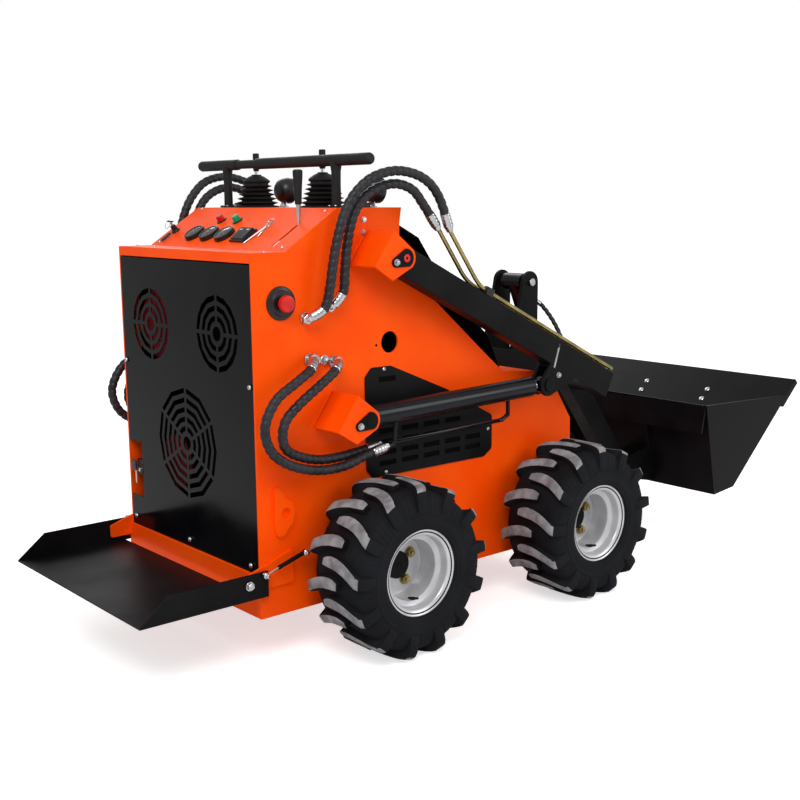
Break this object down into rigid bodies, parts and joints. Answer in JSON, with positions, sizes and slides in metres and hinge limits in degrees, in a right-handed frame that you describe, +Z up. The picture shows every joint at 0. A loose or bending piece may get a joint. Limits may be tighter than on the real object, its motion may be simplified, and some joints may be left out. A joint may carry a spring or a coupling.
{
  "type": "stand-on skid steer loader",
  "caption": "Compact ride-behind skid steer loader with lugged tyres, twin lift arms, a tilting bucket on a quick-attach plate, control console and folding operator platform",
  "frame": {"origin": "on the ground under the middle of the machine's box", "axes": "+X forward to the bucket, +Y to the machine's left, +Z up"},
  "size_m": [2.3956, 1.15, 1.296],
  "materials": {
    "orange_paint": "gloss powder coat",
    "black_powder_coat": "satin powder coat",
    "silver_paint": "silver paint",
    "chromed_steel": "hard chrome",
    "yellow_zinc": "yellow zinc plate",
    "engine_iron": "painted casting",
    "tyre_rubber": "dull",
    "rubber": "dull"
  },
  "bodies": {
    "chassis": {"arm_bracket_left": "orange_paint", "arm_bracket_right": "orange_paint", "boom_hose_front_left": "rubber", "boom_hose_front_right": "rubber", "boom_hose_rear_left": "rubber", "boom_hose_rear_right": "rubber", "console": "orange_paint", "control_lever_left": "rubber", "control_lever_right": "rubber", "cylinder_bracket_left": "orange_paint", "cylinder_bracket_right": "orange_paint", "cylinder_hose_high_left": "rubber", "cylinder_hose_high_right": "rubber", "cylinder_hose_low_left": "rubber", "cylinder_hose_low_right": "rubber", "engine_block": "engine_iron", "hand_bar": "black_powder_coat", "hood": "black_powder_coat", "lower_frame": "orange_paint", "rear_bar": "orange_paint", "rear_panel": "black_powder_coat", "side_plate_left": "orange_paint", "side_plate_right": "orange_paint", "side_vent_left": "black_powder_coat", "side_vent_right": "black_powder_coat", "wheel_motor_front_left": "black_powder_coat", "wheel_motor_front_right": "black_powder_coat", "wheel_motor_rear_left": "black_powder_coat", "wheel_motor_rear_right": "black_powder_coat", "work_lamp_left": "black_powder_coat", "work_lamp_right": "black_powder_coat"},
    "wheel_front_left": {"rim_front_left": "silver_paint", "tyre_front_left": "tyre_rubber"},
    "wheel_front_right": {"rim_front_right": "silver_paint", "tyre_front_right": "tyre_rubber"},
    "wheel_rear_left": {"rim_rear_left": "silver_paint", "tyre_rear_left": "tyre_rubber"},
    "wheel_rear_right": {"rim_rear_right": "silver_paint", "tyre_rear_right": "tyre_rubber"},
    "boom": {"arm_left": "black_powder_coat", "arm_right": "black_powder_coat", "boom_pipes_left": "yellow_zinc", "boom_pipes_right": "yellow_zinc", "boom_beam": "black_powder_coat", "tilt_hose": "rubber"},
    "lift_barrel_left": {"lift_barrel_left": "black_powder_coat"},
    "lift_rod_left": {"lift_rod_left": "chromed_steel"},
    "lift_barrel_right": {"lift_barrel_right": "black_powder_coat"},
    "lift_rod_right": {"lift_rod_right": "chromed_steel"},
    "attachment": {"attach_plate": "black_powder_coat", "bucket": "black_powder_coat"},
    "tilt_barrel": {"tilt_barrel": "black_powder_coat"},
    "tilt_rod": {"tilt_rod": "chromed_steel"},
    "platform": {"platform": "black_powder_coat"},
    "strut_barrel_left": {"strut_barrel_left": "black_powder_coat"},
    "strut_rod_left": {"strut_rod_left": "chromed_steel"},
    "strut_barrel_right": {"strut_barrel_right": "black_powder_coat"},
    "strut_rod_right": {"strut_rod_right": "chromed_steel"}
  },
  "joints": [
    {"name": "wheel_front_left_spin", "type": "hinge", "parent": "chassis", "child": "wheel_front_left", "pos_m": [0.18318, 0.47, 0.2285], "axis": [0, 1, 0], "continuous": true},
    {"name": "wheel_front_right_spin", "type": "hinge", "parent": "chassis", "child": "wheel_front_right", "pos_m": [0.18318, -0.47, 0.2285], "axis": [0, 1, 0], "continuous": true},
    {"name": "wheel_rear_left_spin", "type": "hinge", "parent": "chassis", "child": "wheel_rear_left", "pos_m": [-0.51482, 0.47, 0.2285], "axis": [0, 1, 0], "continuous": true},
    {"name": "wheel_rear_right_spin", "type": "hinge", "parent": "chassis", "child": "wheel_rear_right", "pos_m": [-0.51482, -0.47, 0.2285], "axis": [0, 1, 0], "continuous": true},
    {"name": "arm_lift", "type": "hinge", "parent": "chassis", "child": "boom", "pos_m": [-0.45858, 0, 1.019], "axis": [0, -1, 0], "range_deg": [0, 75], "deforming": ["boom_hose_front_left", "boom_hose_front_right", "boom_hose_rear_left", "boom_hose_rear_right"]},
    {"name": "lift_barrel_left_turn", "type": "hinge", "parent": "chassis", "child": "lift_barrel_left", "pos_m": [-0.58058, 0.395, 0.61498], "axis": [0, -1, 0], "range_deg": [0, 51.7], "deforming": ["cylinder_hose_high_left", "cylinder_hose_low_left"]},
    {"name": "lift_rod_left_slide", "type": "slide", "parent": "lift_barrel_left", "child": "lift_rod_left", "axis": [0.9997, 0, 0.0233], "range_m": [0, 0.38]},
    {"name": "lift_barrel_right_turn", "type": "hinge", "parent": "chassis", "child": "lift_barrel_right", "pos_m": [-0.58058, -0.395, 0.61498], "axis": [0, -1, 0], "range_deg": [0, 51.7], "deforming": ["cylinder_hose_high_right", "cylinder_hose_low_right"]},
    {"name": "lift_rod_right_slide", "type": "slide", "parent": "lift_barrel_right", "child": "lift_rod_right", "axis": [0.9997, 0, 0.0233], "range_m": [0, 0.38]},
    {"name": "bucket_tilt", "type": "hinge", "parent": "boom", "child": "attachment", "pos_m": [0.57538, 0, 0.29001], "axis": [0, 1, 0], "range_deg": [0, 120], "deforming": ["tilt_hose"]},
    {"name": "tilt_barrel_turn", "type": "hinge", "parent": "boom", "child": "tilt_barrel", "pos_m": [0.39543, 0, 0.89905], "axis": [0, 1, 0], "range_deg": [0, 0.5]},
    {"name": "tilt_rod_slide", "type": "slide", "parent": "tilt_barrel", "child": "tilt_rod", "axis": [0.4068, 0, -0.9135], "range_m": [0, 0.281]},
    {"name": "platform_fold", "type": "hinge", "parent": "chassis", "child": "platform", "pos_m": [-0.89782, 0, 0.228], "axis": [0, 1, 0], "range_deg": [0, 85]},
    {"name": "strut_barrel_left_turn", "type": "hinge", "parent": "chassis", "child": "strut_barrel_left", "pos_m": [-0.73282, 0.3593, 0.284], "axis": [0, 1, 0], "range_deg": [-18.1, 0]},
    {"name": "strut_rod_left_slide", "type": "slide", "parent": "strut_barrel_left", "child": "strut_rod_left", "axis": [-0.9591, 0, -0.283], "range_m": [0, 0.0453]},
    {"name": "strut_barrel_right_turn", "type": "hinge", "parent": "chassis", "child": "strut_barrel_right", "pos_m": [-0.73282, -0.3593, 0.284], "axis": [0, 1, 0], "range_deg": [-18.1, 0]},
    {"name": "strut_rod_right_slide", "type": "slide", "parent": "strut_barrel_right", "child": "strut_rod_right", "axis": [-0.9591, 0, -0.283], "range_m": [0, 0.0453]}
  ],
  "couplings": [
    {"joint": "lift_barrel_left_turn", "follows": "arm_lift", "ratio": 0.6874},
    {"joint": "lift_rod_left_slide", "follows": "arm_lift", "m_per_rad": 0.2888},
    {"joint": "lift_barrel_right_turn", "follows": "arm_lift", "ratio": 0.6874},
    {"joint": "lift_rod_right_slide", "follows": "arm_lift", "m_per_rad": 0.2888},
    {"joint": "tilt_barrel_turn", "follows": "bucket_tilt", "ratio": 0.0034},
    {"joint": "tilt_rod_slide", "follows": "bucket_tilt", "m_per_rad": 0.1333},
    {"joint": "strut_barrel_left_turn", "follows": "platform_fold", "ratio": -0.2123},
    {"joint": "strut_rod_left_slide", "follows": "platform_fold", "m_per_rad": 0.0298},
    {"joint": "strut_barrel_right_turn", "follows": "platform_fold", "ratio": -0.2123},
    {"joint": "strut_rod_right_slide", "follows": "platform_fold", "m_per_rad": 0.0298}
  ]
}
